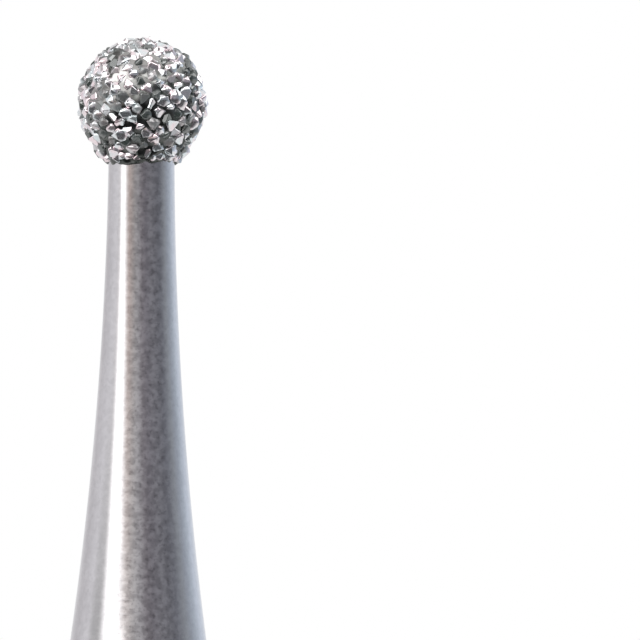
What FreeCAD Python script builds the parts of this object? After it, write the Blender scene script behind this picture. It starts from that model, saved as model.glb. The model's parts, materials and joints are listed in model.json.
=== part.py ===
"""Ball-headed diamond bur on a straight handpiece shank, in millimetres.

The bur stands along +Z with its origin at the centre of the shank's end face and its head on top. It is
a blank turned from one steel bar, a nickel skin plated over the ball at its tip, and the diamond
crystals that the nickel holds, each sunk to its middle in a pocket of its own.
"""

import FreeCAD
import Part

import math
import os
import random

from FreeCAD import Placement, Rotation, Vector

# Shank
overall_length = 44.5
shank_diameter = 2.35
shank_end_chamfer = 0.30
shank_edge_radius = 0.06

# Neck and the shoulder that it grows out of
head_and_neck_length = 5.55
neck_diameter = 0.45
neck_curve_radius = 25.5
neck_curve_start = 0.1665
shoulder_angle = 30.0
shoulder_fillet = 1.40

# Head, measured over the crystals' tips: a ball a little longer than it is wide
ball_diameter = 0.90
ball_lengthening = 1.03

# Diamond crystals
grain_size = 0.068
smallest_grain_share = 0.82
grain_pitch = 0.080
grain_scatter = 0.006
grain_gap = 0.003
grain_sink = 0.001
grain_stretch = 0.12
grain_seed = 11

# Nickel left between the deepest crystal corner and the steel
nickel_floor = 0.032

# Crystals keep this far from the neck's wall
neck_margin = 0.004

# Points closer than this are one point
same_point = 1e-6

# Worked out from the above
shank_radius = shank_diameter / 2
neck_radius = neck_diameter / 2
grain_radius = grain_size / 2
neighbour_reach = 3 * grain_pitch
ball_centre_z = overall_length - ball_diameter * ball_lengthening / 2
shoulder_z = overall_length - head_and_neck_length
nickel_radius = ball_diameter / 2 - (grain_radius - grain_sink)
seat_radius = nickel_radius - grain_sink
core_radius = seat_radius - grain_radius - nickel_floor
ball_centre = Vector(0, 0, ball_centre_z)
up = Vector(0, 0, 1)


def shoulder_curve():
    """Centre of the fillet between shoulder cone and neck, and where it touches each, as (r, z) vectors."""
    slope = math.radians(shoulder_angle)
    up_the_cone = Vector(-math.sin(slope), math.cos(slope), 0)
    out_of_the_cone = Vector(math.cos(slope), math.sin(slope), 0)
    cone_foot = Vector(shank_radius, shoulder_z, 0)
    neck_centre = Vector(neck_radius + neck_curve_radius, ball_centre_z - neck_curve_start, 0)

    # The fillet's centre is its radius away from the cone, and inside the neck's circle by its radius.
    from_neck = cone_foot + out_of_the_cone * shoulder_fillet - neck_centre
    reach = neck_curve_radius - shoulder_fillet
    half_sum = from_neck.dot(up_the_cone)
    climb = -half_sum + math.sqrt(half_sum ** 2 - from_neck.dot(from_neck) + reach ** 2)
    centre = neck_centre + from_neck + up_the_cone * climb
    on_cone = centre - out_of_the_cone * shoulder_fillet
    on_neck = neck_centre + (centre - neck_centre).normalize() * neck_curve_radius
    return centre, on_cone, on_neck, neck_centre


def in_section(point):
    """An (r, z) vector as a point of the XZ plane."""
    return Vector(point.x, 0, point.y)


def line_between(first, last):
    return Part.LineSegment(in_section(first), in_section(last)).toShape()


def arc_between(first, last, centre):
    """Short arc about centre from first to last."""
    radius = (first - centre).Length
    middle = centre + ((first + last) * 0.5 - centre).normalize() * radius
    return Part.Arc(*(in_section(p) for p in (first, middle, last))).toShape()


def steel_blank():
    """Shank, shoulder, neck and ball core, turned in one piece."""
    fillet_centre, on_cone, on_neck, neck_centre = shoulder_curve()
    neck_top = Vector(neck_radius, neck_centre.y, 0)
    corners = [
        Vector(0, neck_top.y, 0),
        Vector(0, 0, 0),
        Vector(shank_radius - shank_end_chamfer, 0, 0),
        Vector(shank_radius, shank_end_chamfer, 0),
        Vector(shank_radius, shoulder_z, 0),
        on_cone,
    ]
    outline = [line_between(a, b) for a, b in zip(corners, corners[1:])]
    outline.append(arc_between(on_cone, on_neck, fillet_centre))
    outline.append(arc_between(on_neck, neck_top, neck_centre))
    outline.append(line_between(neck_top, corners[0]))
    turned = Part.Face(Part.Wire(outline)).revolve(Vector(0, 0, 0), up, 360)

    shank_edge = [
        e for e in turned.Edges
        if isinstance(e.Curve, Part.Circle)
        and abs(e.Curve.Center.z - shoulder_z) < same_point
        and abs(e.Curve.Radius - shank_radius) < same_point
    ]
    turned = turned.makeFillet(shank_edge_radius, shank_edge)
    return turned.fuse(Part.makeSphere(core_radius, ball_centre)).removeSplitter()


def seat_directions(rng):
    """Unit vectors to the crystals' seats: a golden-angle spiral over the whole ball, a little scattered."""
    cell_area = grain_pitch ** 2 * math.sqrt(3) / 2
    count = round(4 * math.pi * seat_radius ** 2 / cell_area)
    golden_angle = math.pi * (3 - math.sqrt(5))
    scatter = grain_scatter / seat_radius
    directions = []
    for i in range(count):
        height = 1 - (2 * i + 1) / count
        ring = math.sqrt(1 - height ** 2)
        turn = i * golden_angle
        seat = Vector(ring * math.cos(turn), ring * math.sin(turn), height)
        seat += Vector(*(rng.uniform(-scatter, scatter) for _ in range(3)))
        directions.append(seat.normalize())
    return directions


def neighbours(directions):
    """For each seat, the seats around it, nearest first, as (distance on the unit ball, index)."""
    reach = neighbour_reach / seat_radius
    around = []
    for i, here in enumerate(directions):
        near = []
        for j, there in enumerate(directions):
            if j != i and abs(there.z - here.z) < reach:
                distance = here.distanceToPoint(there)
                if distance < reach:
                    near.append((distance, j))
        around.append(sorted(near))
    return around


def land_outline(here, others):
    """Corners of the flat land round one seat, cut off where it meets the lands of its neighbours."""
    side = here.cross(Vector(1, 0, 0) if abs(here.x) < abs(here.z) else up).normalize() * neighbour_reach
    along = here.cross(side)
    land = [here * nickel_radius + side * a + along * b for a, b in ((1, 1), (-1, 1), (-1, -1), (1, -1))]
    for other in others:
        kept = []
        for first, last in zip(land, land[1:] + land[:1]):
            room_first = nickel_radius - first.dot(other)
            room_last = nickel_radius - last.dot(other)
            if room_first >= 0:
                kept.append(first)
            if (room_first >= 0) != (room_last >= 0):
                kept.append(first + (last - first) * (room_first / (room_first - room_last)))
        land = kept
    return land


def lengthened(point):
    """A point of the round ball, moved to its place on the ball as it is, both about their centre."""
    return Vector(point.x, point.y, point.z * ball_lengthening)


def nickel_ball(directions, around):
    """Outside of the plating: a ball of flat lands, one for each seat, so that every edge is straight."""
    corners = {}
    faces = []
    for here, near in zip(directions, around):
        outline = []
        for point in land_outline(here, [directions[j] for _, j in near]):
            key = tuple(round(c / same_point) for c in point)
            point = corners.setdefault(key, lengthened(point))
            if not outline or (point - outline[-1]).Length > same_point:
                outline.append(point)
        faces.append(Part.Face(Part.makePolygon(outline + outline[:1])))
    ball = Part.Solid(Part.Shell(faces))
    ball.translate(ball_centre)
    return ball


def crystal(radius, rng):
    """One octahedral crystal about the origin, stretched a little differently along each of its axes."""
    reach = [radius * rng.uniform(1 - grain_stretch, 1) for _ in range(3)]
    tips = [(Vector(reach[0], 0, 0), Vector(-reach[0], 0, 0)),
            (Vector(0, reach[1], 0), Vector(0, -reach[1], 0)),
            (Vector(0, 0, reach[2]), Vector(0, 0, -reach[2]))]
    faces = [Part.Face(Part.makePolygon([x, y, z, x]))
             for x in tips[0] for y in tips[1] for z in tips[2]]
    solid = Part.Solid(Part.Shell(faces))
    if solid.Volume < 0:
        solid.reverse()
    return solid


def diamond_grit(directions, around, rng):
    """Every crystal that clears the neck, turned at random and no larger than its neighbours allow."""
    crystals = []
    for here, near in zip(directions, around):
        room = (near[0][0] * seat_radius - grain_gap) / 2
        radius = min(room, grain_radius * rng.uniform(smallest_grain_share, 1))
        axis = Vector(*(rng.gauss(0, 1) for _ in range(3)))
        turn = Rotation(axis, rng.uniform(0, 360))
        seat = lengthened(here * seat_radius)
        from_axis = math.hypot(seat.x, seat.y)
        over_the_neck = here.z < 0 and from_axis < neck_radius + neck_margin + radius
        if not over_the_neck:
            solid = crystal(radius, rng)
            solid.Placement = Placement(ball_centre + seat, turn)
            crystals.append(solid)
    return Part.makeCompound(crystals)


def main():
    rng = random.Random(grain_seed)
    directions = seat_directions(rng)
    around = neighbours(directions)
    blank = steel_blank()
    grit = diamond_grit(directions, around, rng)
    plating = nickel_ball(directions, around).cut(blank).cut(grit)

    os.makedirs("parts", exist_ok=True)
    blank.exportStep("parts/steel_blank.step")
    plating.exportStep("parts/nickel_plating.step")
    grit.exportStep("parts/diamond_grit.step")
    print("crystals:", len(grit.Solids), " plating:", len(plating.Solids), "solid,", len(plating.Faces), "faces")


main()
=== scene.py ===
"""Looks of a ball-headed diamond bur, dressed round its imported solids. All sizes are in metres."""

import json
import math
import random

import bmesh
import bpy
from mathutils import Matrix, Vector

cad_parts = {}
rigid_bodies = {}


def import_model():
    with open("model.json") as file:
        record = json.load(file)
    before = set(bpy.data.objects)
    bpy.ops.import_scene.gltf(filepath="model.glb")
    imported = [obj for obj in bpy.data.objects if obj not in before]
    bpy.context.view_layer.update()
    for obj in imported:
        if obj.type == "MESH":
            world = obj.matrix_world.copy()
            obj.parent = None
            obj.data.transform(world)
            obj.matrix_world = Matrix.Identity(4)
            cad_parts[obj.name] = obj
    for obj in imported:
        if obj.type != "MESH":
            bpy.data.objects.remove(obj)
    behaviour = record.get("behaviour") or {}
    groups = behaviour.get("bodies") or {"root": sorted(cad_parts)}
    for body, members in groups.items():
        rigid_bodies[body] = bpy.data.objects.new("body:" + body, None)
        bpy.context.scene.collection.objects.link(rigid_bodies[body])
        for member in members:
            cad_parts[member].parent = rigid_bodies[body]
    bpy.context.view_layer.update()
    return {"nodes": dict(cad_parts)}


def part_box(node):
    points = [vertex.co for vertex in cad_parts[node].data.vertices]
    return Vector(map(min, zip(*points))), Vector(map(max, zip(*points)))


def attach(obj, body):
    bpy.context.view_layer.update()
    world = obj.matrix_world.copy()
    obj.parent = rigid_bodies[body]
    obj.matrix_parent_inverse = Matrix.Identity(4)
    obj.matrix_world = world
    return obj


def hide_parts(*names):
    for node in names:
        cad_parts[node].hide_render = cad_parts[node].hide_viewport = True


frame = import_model()


# Steel blank: shank, shoulder cone, neck and the core of the head, turned from one bar of stainless
# steel and ground. Grinding leaves fine rings round it, and the plating baths leave a soft mottle and fine
# specks of stain on the neck; these are laid on most heavily on its front and back as painted shade.
mm = 0.001
micron = 0.001 * mm

shank_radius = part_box("steel_blank")[1].x
shank_end_chamfer = 0.30 * mm
broken_edge = 0.03 * mm
shoulder_edge_radius = 0.06 * mm
shoulder_z = 38.95 * mm
shoulder_slope = math.radians(30)
shoulder_fillet = 1.40 * mm
neck_radius = 0.225 * mm
neck_curve_radius = 25.5 * mm
neck_curve_start = 0.1665 * mm
ball_centre_z = 44.0365 * mm
core_radius = 0.350 * mm
turned_sides = 256
end_edge_steps = 4
shoulder_edge_steps = 6
fillet_steps = 14
neck_steps = 40
core_steps = 24

# Blotches that steel, nickel and crystals share, each at its own size
spot_edges = (0.32, 0.68)
spot_detail = 1.5
spot_noise_roughness = 0.5

steel_colour = (0.73, 0.72, 0.73, 1)
steel_stain_colour = (0.36, 0.35, 0.36, 1)
mottle_size = 46 * micron
mottle_share = 0.62
mottle_polish = -0.03
mottle_depth = 0.35 * micron
speck_size = 24 * micron
speck_stretch = 0.9
speck_edges = (0.52, 0.70)
speck_share = 0.38
stain_size = 0.45 * mm
stain_detail = 5.0
stain_edges = (0.45, 0.70)
stain_share = 0.10
ring_pitch = 14 * micron
ring_squeeze = (0.02, 0.02, 1)
ring_detail = 4.0
ring_noise_roughness = 0.7
ring_edges = (0.3, 0.7)
ring_roughness = (0.14, 0.18)
ring_depth = 0.10 * micron
neck_fade_height = 1.2 * mm
shank_mottle_share = 0.25
# Mottle and specks are strongest on the sides facing either way along this direction, the front and back,
# as painted shade.
painted_shade_facing = (math.sin(math.radians(10)), -math.cos(math.radians(10)), 0)
painted_shade_edges = (0.80, 0.985)
flank_mottle_share = 0.22


def point_on_arc(centre, first, last, share):
    """The point that share of the way along the short arc about centre, in the (radius, height) plane."""
    start, end = first - centre, last - centre
    swept = math.atan2(start.x * end.y - start.y * end.x, start.dot(end)) * share
    turned = Vector((
        start.x * math.cos(swept) - start.y * math.sin(swept),
        start.x * math.sin(swept) + start.y * math.cos(swept),
    ))
    return centre + turned


def arc_points(centre, first, last, steps):
    return [point_on_arc(centre, first, last, i / steps) for i in range(steps + 1)]


def rounded_corner(before, corner, after, radius, steps):
    """Points of the arc of that radius that rounds a corner of a (radius, height) outline."""
    back, on = (before - corner).normalized(), (after - corner).normalized()
    half_angle = back.angle(on) / 2
    first = corner + back * (radius / math.tan(half_angle))
    last = corner + on * (radius / math.tan(half_angle))
    centre = corner + (back + on).normalized() * (radius / math.sin(half_angle))
    return arc_points(centre, first, last, steps)


def shoulder_curve():
    """The fillet between cone and neck: its centre, where it touches each, and the neck curve's centre."""
    up_the_cone = Vector((-math.sin(shoulder_slope), math.cos(shoulder_slope)))
    out_of_the_cone = Vector((math.cos(shoulder_slope), math.sin(shoulder_slope)))
    cone_foot = Vector((shank_radius, shoulder_z))
    neck_centre = Vector((neck_radius + neck_curve_radius, ball_centre_z - neck_curve_start))
    from_neck = cone_foot + out_of_the_cone * shoulder_fillet - neck_centre
    reach = neck_curve_radius - shoulder_fillet
    half_sum = from_neck.dot(up_the_cone)
    climb = -half_sum + math.sqrt(half_sum ** 2 - from_neck.length_squared + reach ** 2)
    centre = neck_centre + from_neck + up_the_cone * climb
    on_cone = centre - out_of_the_cone * shoulder_fillet
    on_neck = neck_centre + (centre - neck_centre).normalized() * neck_curve_radius
    return centre, on_cone, on_neck, neck_centre


def blank_outline():
    """The blank's (radius, height) outline, from the middle of the end face to the top of the core."""
    fillet_centre, on_cone, on_neck, neck_centre = shoulder_curve()
    end_middle = Vector((0, 0))
    end_rim = Vector((shank_radius - shank_end_chamfer, 0))
    chamfer_top = Vector((shank_radius, shank_end_chamfer))
    cone_foot = Vector((shank_radius, shoulder_z))
    core_centre = Vector((0, ball_centre_z))
    core_foot = Vector((neck_radius, ball_centre_z - math.sqrt(core_radius ** 2 - neck_radius ** 2)))
    core_top = Vector((0, ball_centre_z + core_radius))

    outline = [end_middle]
    outline += rounded_corner(end_middle, end_rim, chamfer_top, broken_edge, end_edge_steps)
    outline += rounded_corner(end_rim, chamfer_top, cone_foot, broken_edge, end_edge_steps)
    outline += rounded_corner(chamfer_top, cone_foot, on_cone, shoulder_edge_radius, shoulder_edge_steps)
    outline += arc_points(fillet_centre, on_cone, on_neck, fillet_steps)
    outline += arc_points(neck_centre, on_neck, core_foot, neck_steps)[1:]
    outline += arc_points(core_centre, core_foot, core_top, core_steps)[1:]
    return outline


def turned_mesh(name, outline, sides):
    """A closed mesh turned about Z from an outline whose two ends lie on the axis."""
    made = bmesh.new()
    angles = [2 * math.pi * i / sides for i in range(sides)]
    rings = [
        [made.verts.new((p.x * math.cos(a), p.x * math.sin(a), p.y)) for a in angles]
        for p in outline[1:-1]
    ]
    bottom = made.verts.new((0, 0, outline[0].y))
    top = made.verts.new((0, 0, outline[-1].y))
    for i in range(sides):
        j = (i + 1) % sides
        made.faces.new((bottom, rings[0][j], rings[0][i]))
        made.faces.new((top, rings[-1][i], rings[-1][j]))
        for lower, upper in zip(rings, rings[1:]):
            made.faces.new((lower[i], lower[j], upper[j], upper[i]))
    for face in made.faces:
        face.smooth = True
    mesh = bpy.data.meshes.new(name)
    made.to_mesh(mesh)
    made.free()
    return mesh


def add_object(name, mesh):
    made = bpy.data.objects.new(name, mesh)
    bpy.context.scene.collection.objects.link(made)
    return made


def add_node(tree, kind, inputs=None, **settings):
    """A new node with its settings, and its inputs given as values or as other nodes' output sockets."""
    made = tree.nodes.new(kind)
    for name, value in settings.items():
        setattr(made, name, value)
    for name, value in (inputs or {}).items():
        if isinstance(value, bpy.types.NodeSocket):
            tree.links.new(value, made.inputs[name])
        else:
            made.inputs[name].default_value = value
    return made


def calculate(tree, operation, *values, clamp=False):
    """Output of a Math node."""
    made = add_node(tree, "ShaderNodeMath", dict(enumerate(values)), operation=operation, use_clamp=clamp)
    return made.outputs[0]


def smooth_range(tree, value, low, high, at_low=0.0, at_high=1.0):
    """Output of a Map Range node that eases from at_low to at_high as value goes from low to high."""
    ends = {"Value": value, "From Min": low, "From Max": high, "To Min": at_low, "To Max": at_high}
    made = add_node(tree, "ShaderNodeMapRange", ends, interpolation_type="SMOOTHSTEP")
    return made.outputs["Result"]


def noise(tree, size, **inputs):
    """Output of a Noise Texture node with spots of about that size, which is a length or a socket."""
    scale = calculate(tree, "DIVIDE", 1.0, size) if isinstance(size, bpy.types.NodeSocket) else 1 / size
    return add_node(tree, "ShaderNodeTexNoise", {"Scale": scale, **inputs}).outputs[0]


def bump(tree, height, depth, **inputs):
    """Normal output of a Bump node as deep as that length."""
    sockets = {"Height": height, "Distance": depth, "Strength": 1.0, **inputs}
    return add_node(tree, "ShaderNodeBump", sockets).outputs["Normal"]


def mixed_colour(tree, share, first, second):
    """Colour output of a Mix node, which gives first at a share of 0 and second at 1.

    The node's colour sockets have the same names as its number sockets, so they go by their index.
    """
    made = add_node(tree, "ShaderNodeMix", {0: share, 6: first, 7: second}, data_type="RGBA")
    return made.outputs[2]


def own_place(tree):
    """Place on the piece itself, in its own Object coordinates."""
    return add_node(tree, "ShaderNodeTexCoord").outputs["Object"]


def new_material(name):
    """A material whose node tree is empty but for its output."""
    made = bpy.data.materials.new(name)
    made.use_nodes = True
    made.node_tree.nodes.clear()
    made.node_tree.nodes.new("ShaderNodeOutputMaterial")
    return made


def finish_material(material, shader):
    """Joins a shader node to the material's output."""
    tree = material.node_tree
    output = next(n for n in tree.nodes if n.type == "OUTPUT_MATERIAL")
    tree.links.new(shader.outputs[0], output.inputs["Surface"])


def bath_pitting():
    """Node group: soft blotches, such as plating baths leave, as a mask and a height."""
    tree = bpy.data.node_groups.new("bath_pitting", "ShaderNodeTree")
    tree.interface.new_socket("Spot size", in_out="INPUT", socket_type="NodeSocketFloat")
    tree.interface.new_socket("Stretch", in_out="INPUT", socket_type="NodeSocketFloat")
    tree.interface.new_socket("Mask", in_out="OUTPUT", socket_type="NodeSocketFloat")
    tree.interface.new_socket("Height", in_out="OUTPUT", socket_type="NodeSocketFloat")
    inlet = tree.nodes.new("NodeGroupInput")
    place = add_node(tree, "ShaderNodeSeparateXYZ", {0: own_place(tree)}).outputs
    squeezed = calculate(tree, "DIVIDE", place["Z"], inlet.outputs["Stretch"])
    stretched = add_node(tree, "ShaderNodeCombineXYZ", {"X": place["X"], "Y": place["Y"], "Z": squeezed})
    coarse = noise(tree, inlet.outputs["Spot size"], Vector=stretched.outputs[0], Detail=spot_detail,
                   Roughness=spot_noise_roughness)
    outlet = tree.nodes.new("NodeGroupOutput")
    tree.links.new(smooth_range(tree, coarse, *spot_edges), outlet.inputs["Mask"])
    tree.links.new(coarse, outlet.inputs["Height"])
    return tree


pitting_group = bath_pitting()


def pitting(tree, spot_size, stretch=1.0):
    """Outputs of the pitting group, placed in a tree with that spot size and stretch along the tool."""
    inputs = {"Spot size": spot_size, "Stretch": stretch}
    return add_node(tree, "ShaderNodeGroup", inputs, node_tree=pitting_group).outputs


def ground_steel():
    """Stainless steel with grinding rings all along, and a mottle that fades from the neck to the shank and
    is laid on most heavily on the front and back as painted shade.
    """
    material = new_material("ground_steel")
    tree = material.node_tree
    place = own_place(tree)
    height = add_node(tree, "ShaderNodeSeparateXYZ", {0: place}).outputs["Z"]
    on_neck = smooth_range(tree, height, shoulder_z, shoulder_z + neck_fade_height, shank_mottle_share, 1.0)
    # Painted shade: mottle and specks are strongest on the front and back and weaker on the flanks, which
    # keep a lighter share of the stains.
    across = add_node(tree, "ShaderNodeVectorMath", {0: place, 1: (1, 1, 0)}, operation="MULTIPLY")
    heading = add_node(tree, "ShaderNodeVectorMath", {0: across.outputs[0]}, operation="NORMALIZE")
    facing = add_node(
        tree, "ShaderNodeVectorMath", {0: heading.outputs[0], 1: painted_shade_facing}, operation="DOT_PRODUCT",
    ).outputs["Value"]
    front_or_back = calculate(tree, "ABSOLUTE", facing)
    mottle_and_painted_shade = smooth_range(tree, front_or_back, *painted_shade_edges, flank_mottle_share, 1.0)
    neck_mottle_and_painted_shade = calculate(tree, "MULTIPLY", mottle_and_painted_shade, on_neck)

    mottle = pitting(tree, mottle_size)
    specks = smooth_range(tree, pitting(tree, speck_size, speck_stretch)["Height"], *speck_edges)
    stains = smooth_range(tree, noise(tree, stain_size, Vector=place, Detail=stain_detail), *stain_edges)
    ring_place = add_node(tree, "ShaderNodeVectorMath", {0: place, 1: ring_squeeze}, operation="MULTIPLY")
    rings = noise(tree, ring_pitch, Vector=ring_place.outputs[0], Detail=ring_detail,
                  Roughness=ring_noise_roughness)

    mottled = calculate(tree, "MULTIPLY", mottle["Mask"], neck_mottle_and_painted_shade)
    specked = calculate(tree, "MULTIPLY", specks, neck_mottle_and_painted_shade)
    stained = calculate(tree, "MULTIPLY", stains, stain_share)
    tarnished = calculate(tree, "MULTIPLY_ADD", mottled, mottle_share, stained)
    tarnished = calculate(tree, "MULTIPLY_ADD", specked, speck_share, tarnished, clamp=True)
    colour = mixed_colour(tree, tarnished, steel_colour, steel_stain_colour)
    ground = smooth_range(tree, rings, *ring_edges, *ring_roughness)
    roughness = calculate(tree, "MULTIPLY_ADD", mottled, mottle_polish, ground)

    ringed = bump(tree, rings, ring_depth)
    normal = bump(tree, mottle["Height"], mottle_depth, Strength=neck_mottle_and_painted_shade, Normal=ringed)
    shader = add_node(
        tree, "ShaderNodeBsdfPrincipled",
        {"Base Color": colour, "Metallic": 1.0, "Roughness": roughness, "Normal": normal},
    )
    finish_material(material, shader)
    return material


blank = add_object("turned_blank", turned_mesh("turned_blank", blank_outline(), turned_sides))
blank.data.materials.append(ground_steel())
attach(blank, "root")
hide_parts("steel_blank")


# Nickel plating: a skin grown in a bath round the core, which banks up in a collar round each crystal
# and closes on the neck with an uneven heel. It is grainy where it grew. Its colour carries painted shade,
# dark between the crystals of the lower half and on the right, and the nickel's own colour above and to the
# left.
nickel_radius = 0.398 * mm
ball_lengthening = 1.03
ball_subdivisions = 7
collar_height = 9 * micron
collar_reach = 46 * micron
nodule_height = 22 * micron
nodule_size = 100 * micron
nodule_detail = 1.0
heel_height = 34 * micron
heel_unevenness = (0.5, 1.5)
heel_nodule_edges = (0.35, 0.65)
heel_top = ball_centre_z - 0.27 * mm
heel_foot = ball_centre_z - 0.37 * mm
foot_places = 60
foot_ring_radius = 0.252 * mm
foot_ring_z = ball_centre_z - 0.375 * mm
foot_room = 0.050 * mm
foot_reach = 0.022 * mm
foot_scatter = 0.012 * mm
foot_seed = 3
nickel_colour = (0.43, 0.42, 0.41, 1)
# Painted shade: the near-black colour that the plating takes low down and on the right.
nickel_painted_shade_colour = (0.026, 0.039, 0.034, 1)
# The plating's painted shade fades out between these two heights, which are measured along the side given
# on the next line.
painted_shade_fade_side = (-0.60, 0, 1)
painted_shade_fade_from = ball_centre_z - 0.05 * mm
painted_shade_fade_to = ball_centre_z + 0.30 * mm
painted_shade_fade_shares = (0.10, 0.85)
nickel_spot_size = 60 * micron
nickel_spot_share = 0.25
nickel_spot_edges = (0.35, 0.65)
nickel_spot_depth = 0.8 * micron
nickel_roughness = (0.18, 0.30)
same_point = 0.5 * micron
plating_sizes = {
    "Radius": nickel_radius, "Collar height": collar_height, "Collar reach": collar_reach,
    "Nodule height": nodule_height, "Nodule size": nodule_size,
    "Heel height": heel_height, "Heel top": heel_top, "Heel foot": heel_foot,
}


def crystal_seats():
    """Middle and reach of each crystal of the CAD grit, lifted by the heel where they stand on it."""
    solids = bmesh.new()
    solids.from_mesh(frame["nodes"]["diamond_grit"].data)
    bmesh.ops.remove_doubles(solids, verts=solids.verts, dist=same_point)
    seen = set()
    seats = []
    for start in solids.verts:
        if start not in seen:
            seen.add(start)
            corners = [start]
            for corner in corners:
                for edge in corner.link_edges:
                    other = edge.other_vert(corner)
                    if other not in seen:
                        seen.add(other)
                        corners.append(other)
            middle = sum((c.co for c in corners), Vector()) / len(corners)
            reach = max((c.co - middle).length for c in corners)
            down = min(max((heel_top - middle.z) / (heel_top - heel_foot), 0), 1)
            lift = heel_height * down * down * (3 - 2 * down)
            outward = (middle - Vector((0, 0, ball_centre_z))).normalized()
            seats.append((middle + outward * lift, reach))
    solids.free()
    return seats


def foot_seats(seats):
    """More seats, for the small crystals that fill the corner between the ball and the neck."""
    rng = random.Random(foot_seed)
    added = []
    for i in range(foot_places):
        angle = 2 * math.pi * i / foot_places
        height = foot_ring_z + rng.uniform(-foot_scatter, foot_scatter)
        place = Vector((foot_ring_radius * math.cos(angle), foot_ring_radius * math.sin(angle), height))
        if all((place - other).length > foot_room for other, _ in seats + added):
            added.append((place, foot_reach))
    return added


def seat_cloud(seats):
    """A mesh of lone points at the crystals' seats, which the two trees below read."""
    mesh = bpy.data.meshes.new("seat_cloud")
    mesh.from_pydata([middle for middle, _ in seats], [], [])
    reach = mesh.attributes.new("reach", "FLOAT", "POINT")
    reach.data.foreach_set("value", [r for _, r in seats])
    return add_object("seat_cloud", mesh)


def add_tree(name, sizes):
    """A Geometry Nodes tree with a geometry socket each way and a named float input for each size."""
    tree = bpy.data.node_groups.new(name, "GeometryNodeTree")
    tree.interface.new_socket("Geometry", in_out="INPUT", socket_type="NodeSocketGeometry")
    for size in sizes:
        tree.interface.new_socket(size, in_out="INPUT", socket_type="NodeSocketFloat")
    tree.interface.new_socket("Geometry", in_out="OUTPUT", socket_type="NodeSocketGeometry")
    return tree


def finish_tree(tree, geometry, material):
    """Makes a tree's geometry real, gives it its material and joins it to the tree's output."""
    whole = add_node(tree, "GeometryNodeRealizeInstances", {0: geometry}).outputs[0]
    dressed = add_node(tree, "GeometryNodeSetMaterial", {0: whole, "Material": material}).outputs[0]
    outlet = tree.nodes.new("NodeGroupOutput")
    tree.links.new(dressed, outlet.inputs["Geometry"])


def grown_piece(name, base, tree, sizes):
    """Runs a tree on a base object with its sizes set, and returns the plain mesh as a new object."""
    modifier = base.modifiers.new(name, "NODES")
    modifier.node_group = tree
    for socket in tree.interface.items_tree:
        if socket.in_out == "INPUT" and socket.name in sizes:
            modifier[socket.identifier] = sizes[socket.name]
    bpy.context.view_layer.update()
    evaluated = base.evaluated_get(bpy.context.evaluated_depsgraph_get())
    mesh = bpy.data.meshes.new_from_object(evaluated)
    mesh.name = name
    base.modifiers.remove(modifier)
    return add_object(name, mesh)


def plating_tree(seats, material):
    """A fine ball whose skin is banked up round each seat and covered in nodules."""
    tree = add_tree("plating_growth", plating_sizes)
    inlet = tree.nodes.new("NodeGroupInput").outputs
    ball = add_node(
        tree, "GeometryNodeMeshIcoSphere", {"Radius": inlet["Radius"], "Subdivisions": ball_subdivisions},
    )
    ball_place = add_node(
        tree, "GeometryNodeTransform",
        {"Geometry": ball.outputs["Mesh"], "Translation": (0, 0, ball_centre_z),
         "Scale": (1, 1, ball_lengthening)},
    ).outputs[0]
    points = add_node(tree, "GeometryNodeObjectInfo", {"Object": seats}).outputs["Geometry"]
    near = add_node(tree, "GeometryNodeProximity", {"Geometry": points}, target_element="POINTS")
    bank = smooth_range(tree, near.outputs["Distance"], inlet["Collar reach"], 0.0)
    bank_rise = calculate(tree, "MULTIPLY", bank, inlet["Collar height"])
    nodules = noise(tree, inlet["Nodule size"], Detail=nodule_detail)
    nodule_rise = calculate(tree, "MULTIPLY", nodules, inlet["Nodule height"])

    place = add_node(tree, "GeometryNodeInputPosition").outputs[0]
    height = add_node(tree, "ShaderNodeSeparateXYZ", {0: place}).outputs["Z"]
    heel = smooth_range(tree, height, inlet["Heel top"], inlet["Heel foot"])
    unevenness = smooth_range(tree, nodules, *heel_nodule_edges, *heel_unevenness)
    uneven_heel = calculate(tree, "MULTIPLY", heel, unevenness)
    heel_rise = calculate(tree, "MULTIPLY", uneven_heel, inlet["Heel height"])
    rise = calculate(tree, "ADD", calculate(tree, "ADD", bank_rise, nodule_rise), heel_rise)
    normal = add_node(tree, "GeometryNodeInputNormal").outputs["Normal"]
    offset = add_node(tree, "ShaderNodeVectorMath", {0: normal, "Scale": rise}, operation="SCALE")
    grown = add_node(
        tree, "GeometryNodeSetPosition", {"Geometry": ball_place, "Offset": offset.outputs["Vector"]},
    ).outputs[0]
    smooth = add_node(tree, "GeometryNodeSetShadeSmooth", {0: grown}).outputs[0]
    finish_tree(tree, smooth, material)
    return tree


def plated_nickel():
    """Satin nickel with pale spots, and painted shade that darkens it low down and on the right."""
    material = new_material("plated_nickel")
    tree = material.node_tree
    spots = pitting(tree, nickel_spot_size)
    # Painted shade: dark low down and on the right, the nickel's own colour high up and to the left, with
    # pale spots on top.
    climb = add_node(
        tree, "ShaderNodeVectorMath", {0: own_place(tree), 1: painted_shade_fade_side}, operation="DOT_PRODUCT",
    ).outputs["Value"]
    pale = smooth_range(tree, climb, painted_shade_fade_from, painted_shade_fade_to, *painted_shade_fade_shares)
    painted_shade_fade_and_spots = calculate(tree, "MULTIPLY_ADD", spots["Mask"], nickel_spot_share, pale, clamp=True)
    colour = mixed_colour(tree, painted_shade_fade_and_spots, nickel_painted_shade_colour, nickel_colour)
    roughness = smooth_range(tree, spots["Height"], *nickel_spot_edges, *nickel_roughness)
    normal = bump(tree, spots["Height"], nickel_spot_depth)
    shader = add_node(
        tree, "ShaderNodeBsdfPrincipled",
        {"Base Color": colour, "Metallic": 1.0, "Roughness": roughness, "Normal": normal},
    )
    finish_material(material, shader)
    return material


ball_seats = crystal_seats()
seats = seat_cloud(ball_seats + foot_seats(ball_seats))
plating = grown_piece("grown_plating", seats, plating_tree(seats, plated_nickel()), plating_sizes)
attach(plating, "root")
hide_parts("nickel_plating")


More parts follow.
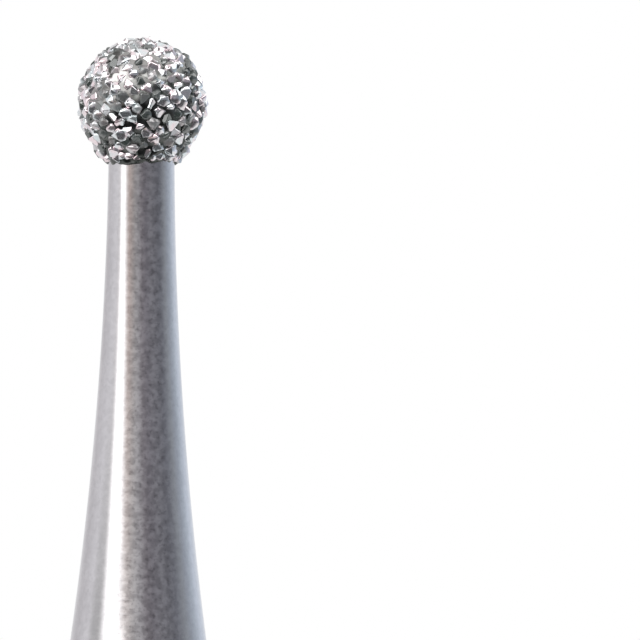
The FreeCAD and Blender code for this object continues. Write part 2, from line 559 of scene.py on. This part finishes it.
# Diamond crystals: blocky grit, each with the flat faces of a cube and an octahedron and worn edges.
# Each is sunk in the plating at its seat, turned at random. The larger ones are mostly pale, with a thin
# glaze of nickel, and the smaller ones clear, which shows dark.
crystal_kinds = 12
crisp_kind_every = 3
widest_bevel_area = 0.12
crystal_seed = 5
crystal_lean = 0.12
face_tilt = 0.1
crystal_same_point = 0.04
blocky_faces = ((0.64, 0.80), (0.78, 0.98))
pointed_faces = ((0.78, 1.00), (0.60, 0.72))
crystal_bevel = 0.21
crystal_stretch = (0.80, 1.20)
crystal_sink = 0.90
crystal_swell = (1.48, 2.10)
crystal_rosy_colour = (1.00, 0.86, 0.89, 1)
crystal_bluish_colour = (0.87, 0.94, 0.96, 1)
crystal_dark_colour = (0.034, 0.048, 0.042, 1)
crystal_bloom_colour = (0.30, 0.30, 0.30, 1)
pale_tints = (0.15, 0.51)
pale_metallic = 0.95
pale_added_roughness = 0.03
bloom_spot_size = 20 * micron
bloom_spot_edges = (0.35, 0.65)
bloom_roughness = (0.04, 0.12)
bloom_share = 0.08
bloom_depth = 0.15 * micron
hue_spot_size = 75 * micron
diamond_ior = 2.4
crystal_sizes = {
    "Smallest swell": crystal_swell[0], "Largest swell": crystal_swell[1], "Sink share": crystal_sink,
    "Seed": crystal_seed,
}


def crystal_mesh(name, rng, worn):
    """A crystal of about unit radius: a cube cut by the eight planes of an octahedron, none at one depth.

    A worn one is shaded smooth all over, and a crisp one only on its bevels.
    """
    cube_face_distance, octahedron_face_distance = rng.choice((blocky_faces, pointed_faces))
    made = bmesh.new()
    bmesh.ops.create_cube(made, size=2)
    lean = Vector([rng.uniform(-crystal_lean, crystal_lean) for _ in range(3)])
    cube_planes = [Vector(n) for n in ((1, 0, 0), (-1, 0, 0), (0, 1, 0), (0, -1, 0), (0, 0, 1), (0, 0, -1))]
    corner_planes = [Vector((x, y, z)).normalized() for x in (1, -1) for y in (1, -1) for z in (1, -1)]
    cuts = [(n, rng.uniform(*cube_face_distance)) for n in cube_planes]
    cuts += [(n, rng.uniform(*octahedron_face_distance)) for n in corner_planes]
    for normal, distance in cuts:
        tilt = Vector([rng.uniform(-face_tilt, face_tilt) for _ in range(3)])
        tilted = (normal + lean.cross(normal) + tilt).normalized()
        whole = made.verts[:] + made.edges[:] + made.faces[:]
        cut = bmesh.ops.bisect_plane(
            made, geom=whole, plane_co=tilted * distance, plane_no=tilted, clear_outer=True,
        )
        rim = [e for e in cut["geom_cut"] if isinstance(e, bmesh.types.BMEdge)]
        if rim:
            bmesh.ops.contextual_create(made, geom=rim)
    bmesh.ops.remove_doubles(made, verts=made.verts, dist=crystal_same_point)
    bmesh.ops.bevel(
        made, geom=made.edges[:], offset=crystal_bevel, segments=1, affect="EDGES", clamp_overlap=True,
    )
    bmesh.ops.recalc_face_normals(made, faces=made.faces)
    for face in made.faces:
        face.smooth = worn or face.calc_area() < widest_bevel_area
    bmesh.ops.scale(made, verts=made.verts, vec=[rng.uniform(*crystal_stretch) for _ in range(3)])
    mesh = bpy.data.meshes.new(name)
    made.to_mesh(mesh)
    made.free()
    return mesh


def crystal_bed_tree(kinds, material):
    """One crystal of a random kind on each seat, turned at random, as large as its seat allows."""
    tree = add_tree("crystal_bed", crystal_sizes)
    inlet = tree.nodes.new("NodeGroupInput").outputs
    seed = calculate(tree, "ROUND", inlet["Seed"])
    chosen = add_node(
        tree, "GeometryNodeCollectionInfo",
        {"Collection": kinds, "Separate Children": True, "Reset Children": True},
    ).outputs[0]
    turn = add_node(
        tree, "FunctionNodeRandomValue",
        {"Max": (2 * math.pi,) * 3, "Seed": seed}, data_type="FLOAT_VECTOR",
    ).outputs["Value"]

    # The same random number gives a crystal's swell and its tint. Number sockets go by their index here.
    swell = add_node(
        tree, "FunctionNodeRandomValue",
        {2: inlet["Smallest swell"], 3: inlet["Largest swell"], "Seed": seed}, data_type="FLOAT",
    ).outputs[1]
    tint = add_node(tree, "FunctionNodeRandomValue", {"Seed": seed}, data_type="FLOAT").outputs[1]
    stored = add_node(tree, "GeometryNodeInputNamedAttribute", {"Name": "reach"}, data_type="FLOAT")
    reach = stored.outputs[0]
    size = calculate(tree, "MULTIPLY", reach, swell)

    middle = Vector((0, 0, ball_centre_z))
    place = add_node(tree, "GeometryNodeInputPosition").outputs[0]
    outward = add_node(tree, "ShaderNodeVectorMath", {0: place, 1: middle}, operation="SUBTRACT").outputs[0]
    away = add_node(tree, "ShaderNodeVectorMath", {0: outward}, operation="NORMALIZE").outputs[0]
    overgrown = calculate(tree, "SUBTRACT", reach, size)
    sunk = calculate(tree, "MULTIPLY", overgrown, inlet["Sink share"])
    inward = add_node(tree, "ShaderNodeVectorMath", {0: away, "Scale": sunk}, operation="SCALE").outputs[0]
    seated = add_node(
        tree, "GeometryNodeSetPosition", {"Geometry": inlet["Geometry"], "Offset": inward},
    ).outputs[0]
    placed = add_node(
        tree, "GeometryNodeInstanceOnPoints",
        {"Points": seated, "Instance": chosen, "Pick Instance": True, "Rotation": turn, "Scale": size},
    ).outputs[0]
    tinted = add_node(
        tree, "GeometryNodeStoreNamedAttribute", {"Geometry": placed, "Name": "tint", "Value": tint},
        data_type="FLOAT", domain="INSTANCE",
    ).outputs[0]
    finish_tree(tree, tinted, material)
    return tree


def glazed_diamond():
    """Diamond faces under a faint bloom: pale ones also under a thin flash of nickel, dark ones clear."""
    material = new_material("glazed_diamond")
    tree = material.node_tree
    tint = add_node(tree, "ShaderNodeAttribute", attribute_name="tint").outputs["Fac"]
    pale = smooth_range(tree, tint, *pale_tints)
    hues = pitting(tree, hue_spot_size)
    bloom = pitting(tree, bloom_spot_size)
    pale_colour = mixed_colour(tree, hues["Mask"], crystal_rosy_colour, crystal_bluish_colour)
    toned = mixed_colour(tree, pale, crystal_dark_colour, pale_colour)
    bloomed = calculate(tree, "MULTIPLY", bloom["Mask"], bloom_share)
    colour = mixed_colour(tree, bloomed, toned, crystal_bloom_colour)
    metallic = calculate(tree, "MULTIPLY", pale, pale_metallic)
    frosted = calculate(tree, "MULTIPLY", pale, pale_added_roughness)
    glassy = smooth_range(tree, bloom["Height"], *bloom_spot_edges, *bloom_roughness)
    roughness = calculate(tree, "ADD", glassy, frosted)
    normal = bump(tree, bloom["Height"], bloom_depth)
    shader = add_node(
        tree, "ShaderNodeBsdfPrincipled",
        {"Base Color": colour, "Metallic": metallic, "Roughness": roughness, "IOR": diamond_ior,
         "Normal": normal},
    )
    finish_material(material, shader)
    return material


crystal_rng = random.Random(crystal_seed)
kinds = bpy.data.collections.new("crystal_kinds")
for i in range(crystal_kinds):
    kind_mesh = crystal_mesh(f"crystal_{i}", crystal_rng, worn=i % crisp_kind_every != 0)
    kinds.objects.link(bpy.data.objects.new(f"crystal_{i}", kind_mesh))
crystals = grown_piece("diamond_crystals", seats, crystal_bed_tree(kinds, glazed_diamond()), crystal_sizes)
for spare in [seats, *kinds.objects]:
    bpy.data.objects.remove(spare)
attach(crystals, "root")
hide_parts("diamond_grit")


# Floor: a plain pale disc under the shank's end. Shiny pieces see its front part as a dark cloth, which
# starts a little away from the tool.
floor_radius = 160 * mm
floor_sides = 96
floor_colour = (0.80, 0.80, 0.80, 1)
floor_roughness = 0.8
cloth_colour = (0.075, 0.075, 0.08, 1)
cloth_side_edge = (0.00, -0.60)
cloth_near_edge = (12 * mm, 34 * mm)


def pale_floor():
    """Matt and pale; metal sees its front half as the dark cloth that keeps the studio off the tool."""
    material = new_material("pale_floor")
    tree = material.node_tree
    place = own_place(tree)
    heading = add_node(tree, "ShaderNodeVectorMath", {0: place}, operation="NORMALIZE").outputs[0]
    depth = add_node(tree, "ShaderNodeSeparateXYZ", {0: heading}).outputs["Y"]
    away = add_node(tree, "ShaderNodeVectorMath", {0: place}, operation="LENGTH").outputs["Value"]
    in_front = calculate(tree, "MULTIPLY", smooth_range(tree, away, *cloth_near_edge),
                         smooth_range(tree, depth, *cloth_side_edge))
    in_gloss = add_node(tree, "ShaderNodeLightPath").outputs["Is Glossy Ray"]
    cloth_share = calculate(tree, "MULTIPLY", in_front, in_gloss)
    matt = add_node(
        tree, "ShaderNodeBsdfPrincipled", {"Base Color": floor_colour, "Roughness": floor_roughness},
    ).outputs[0]
    cloth = add_node(tree, "ShaderNodeEmission", {"Color": cloth_colour}).outputs[0]
    finish_material(material, add_node(tree, "ShaderNodeMixShader", {0: cloth_share, 1: matt, 2: cloth}))
    return material


floor_mesh = bmesh.new()
bmesh.ops.create_circle(floor_mesh, cap_ends=True, segments=floor_sides, radius=floor_radius)
floor_data = bpy.data.meshes.new("floor")
floor_mesh.to_mesh(floor_data)
floor_mesh.free()
floor = add_object("floor", floor_data)
floor.data.materials.append(pale_floor())


# Studio: white behind the bur and dark in front. A tall window with a dark jamb stands to the left, boxes
# light the bur from above, and a fill lights it from the right. Azimuths are from the camera's side,
# positive to the right.

# Panels, as (strength, azimuth, elevation, half width, half height) with the angles in degrees. Those of
# window and jamb are from the window's leaning middle line.
window = (2.0, 0, 5, 8.5, 32)
jamb = (0.46, -18, 22.5, 7, 14)
soft_box = (3.3, 32, 42, 24, 13)
side_box = (3.3, -50, 46, 22, 14)
fill = (1.5, 112, 42, 36, 20)
edge_softness = math.radians(9)
window_azimuth = math.radians(-66.5)
window_lean = 1.53
window_widening = 4.0

horizon_lean = 1.15
ceiling_strength = 0.14
ceiling_elevations = (math.radians(9), math.radians(36))
header_strength = 0.18
header_depths = (-0.10, 0.30)
header_elevations = (math.radians(12), math.radians(24))
front_floor_strength = 0.05
front_depths = (0.10, 0.50)
below_elevations = (math.radians(-12), math.radians(4))
glow_strength = 0.5
glow_azimuths = (math.radians(25), math.radians(-35))
glow_elevations = (math.radians(4), math.radians(24))
glow_end = math.radians(40)
top_box_strength = 0.9
top_box_start = math.radians(64)
backdrop_depths = (0.96, 0.995)

# Strength round the horizon, as (azimuth in degrees, linear red, green, blue).
horizon = [
    (-180, 0.92, 0.92, 0.94),
    (-140, 0.66, 0.645, 0.67),
    (-110, 0.75, 0.74, 0.77),
    (-88, 0.84, 0.83, 0.86),
    (-44, 0.60, 0.49, 0.45),
    (-34, 0.52, 0.46, 0.44),
    (-25, 0.48, 0.46, 0.46),
    (-14, 0.46, 0.45, 0.47),
    (-2, 0.29, 0.27, 0.295),
    (12, 0.24, 0.23, 0.26),
    (30, 0.26, 0.26, 0.29),
    (52, 0.20, 0.205, 0.235),
    (64, 0.215, 0.225, 0.26),
    (82, 0.31, 0.335, 0.37),
    (96, 0.37, 0.41, 0.475),
    (110, 0.48, 0.54, 0.62),
    (128, 0.66, 0.73, 0.84),
    (157, 0.78, 0.83, 0.91),
    (180, 0.95, 0.95, 0.97),
]


def grey(strength):
    return (strength, strength, strength, 1)


def with_panel(tree, behind, azimuth, elevation, panel):
    """The colour behind, with a panel in front of it that is soft at its edges."""
    strength, *angles = panel
    middle_azimuth, middle_elevation, half_width, half_height = (math.radians(a) for a in angles)
    masks = []
    for angle, middle, half in (
        (azimuth, middle_azimuth, half_width), (elevation, middle_elevation, half_height),
    ):
        off = calculate(tree, "ABSOLUTE", calculate(tree, "SUBTRACT", angle, middle))
        masks.append(smooth_range(tree, off, half - edge_softness / 2, half + edge_softness / 2, 1.0, 0.0))
    return mixed_colour(tree, calculate(tree, "MULTIPLY", *masks), behind, grey(strength))


def horizon_colours(tree, azimuth):
    """Colour of the room round the horizon."""
    around = calculate(tree, "MULTIPLY_ADD", azimuth, 1 / (2 * math.pi), 0.5)
    ramp = add_node(tree, "ShaderNodeValToRGB", {"Fac": around})
    stops = ramp.color_ramp.elements
    while len(stops) < len(horizon):
        stops.new(0.5)
    for stop, (degrees, *_) in zip(stops, horizon):
        stop.position = (degrees + 180) / 360
    for stop, (_, *colour) in zip(stops, horizon):
        stop.color = (*colour, 1)
    return ramp.outputs["Color"]


def studio_world():
    world = bpy.data.worlds.new("studio")
    world.use_nodes = True
    tree = world.node_tree
    tree.nodes.clear()
    direction = add_node(tree, "ShaderNodeTexCoord").outputs["Generated"]
    axes = add_node(tree, "ShaderNodeSeparateXYZ", {0: direction}).outputs
    towards_front = calculate(tree, "MULTIPLY", axes["Y"], -1.0)
    azimuth = calculate(tree, "ARCTAN2", axes["X"], towards_front)
    elevation = calculate(tree, "ARCSINE", axes["Z"])

    # The room: its horizon, the ceiling, a header over the backdrop, the fill and the dark front floor.
    leaning = calculate(tree, "SUBTRACT", azimuth, calculate(tree, "MULTIPLY", axes["Z"], horizon_lean))
    ceiling_share = smooth_range(tree, elevation, *ceiling_elevations)
    room = mixed_colour(tree, ceiling_share, horizon_colours(tree, leaning), grey(ceiling_strength))
    header_share = calculate(tree, "MULTIPLY", smooth_range(tree, axes["Y"], *header_depths),
                             smooth_range(tree, elevation, *header_elevations))
    room = mixed_colour(tree, header_share, room, grey(header_strength))
    room = with_panel(tree, room, azimuth, elevation, fill)
    front_share = calculate(tree, "MULTIPLY", smooth_range(tree, towards_front, *front_depths),
                            smooth_range(tree, elevation, *below_elevations, 1.0, 0.0))
    room = mixed_colour(tree, front_share, room, grey(front_floor_strength))

    # A soft glow above the horizon, from the camera round to its left.
    glow_side = smooth_range(tree, azimuth, *glow_azimuths)
    glow_rise = smooth_range(tree, elevation, *glow_elevations)
    glow_fade = smooth_range(tree, elevation, glow_elevations[1], glow_end, glow_strength, 0.0)
    glow = calculate(tree, "MULTIPLY", calculate(tree, "MULTIPLY", glow_side, glow_rise), glow_fade)
    room = add_node(tree, "ShaderNodeVectorMath", {0: room, 1: glow}, operation="ADD").outputs[0]

    # The window leans to the right and widens with height, and its jamb with it.
    tilted = calculate(tree, "SUBTRACT", azimuth, calculate(tree, "MULTIPLY", axes["Z"], window_lean))
    spread = calculate(tree, "DIVIDE", calculate(tree, "SUBTRACT", tilted, window_azimuth),
                       calculate(tree, "MULTIPLY_ADD", axes["Z"], window_widening, 1.0))
    for panel in (jamb, window):
        room = with_panel(tree, room, spread, elevation, panel)
    for panel in (soft_box, side_box):
        room = with_panel(tree, room, azimuth, elevation, panel)
    top_share = smooth_range(tree, elevation, top_box_start - edge_softness, top_box_start)
    room = mixed_colour(tree, top_share, room, grey(top_box_strength))

    # The camera sees plain white, and so does gloss straight behind the bur.
    ray = add_node(tree, "ShaderNodeLightPath").outputs
    in_gloss = calculate(tree, "ADD", ray["Is Glossy Ray"], ray["Is Transmission Ray"])
    in_backdrop = calculate(tree, "MULTIPLY", in_gloss, smooth_range(tree, axes["Y"], *backdrop_depths))
    white_share = calculate(tree, "ADD", ray["Is Camera Ray"], in_backdrop, clamp=True)
    colour = mixed_colour(tree, white_share, room, grey(1.0))
    background = add_node(tree, "ShaderNodeBackground", {"Color": colour, "Strength": 1.0})
    output = add_node(tree, "ShaderNodeOutputWorld")
    tree.links.new(background.outputs[0], output.inputs["Surface"])
    return world


bpy.context.scene.world = studio_world()
bpy.context.scene.view_settings.view_transform = "Standard"


# Camera: level with the head and square to the tool, with a long lens. The picture's middle lies to the
# right of the tool and below its head.
camera_distance = 100 * mm
picture_width = 4.364 * mm
picture_middle = Vector((1.224 * mm, 0, 42.570 * mm))
camera_roll = math.radians(-0.38)

camera_data = bpy.data.cameras.new("camera")
camera_data.sensor_width = 36
camera_data.lens = camera_data.sensor_width * camera_distance / picture_width
camera_data.clip_start = 1 * mm
camera_data.clip_end = 10
camera = bpy.data.objects.new("camera", camera_data)
bpy.context.scene.collection.objects.link(camera)
camera.location = picture_middle + Vector((0, -camera_distance, 0))
camera.rotation_euler = (math.pi / 2, camera_roll, 0)
bpy.context.scene.camera = camera
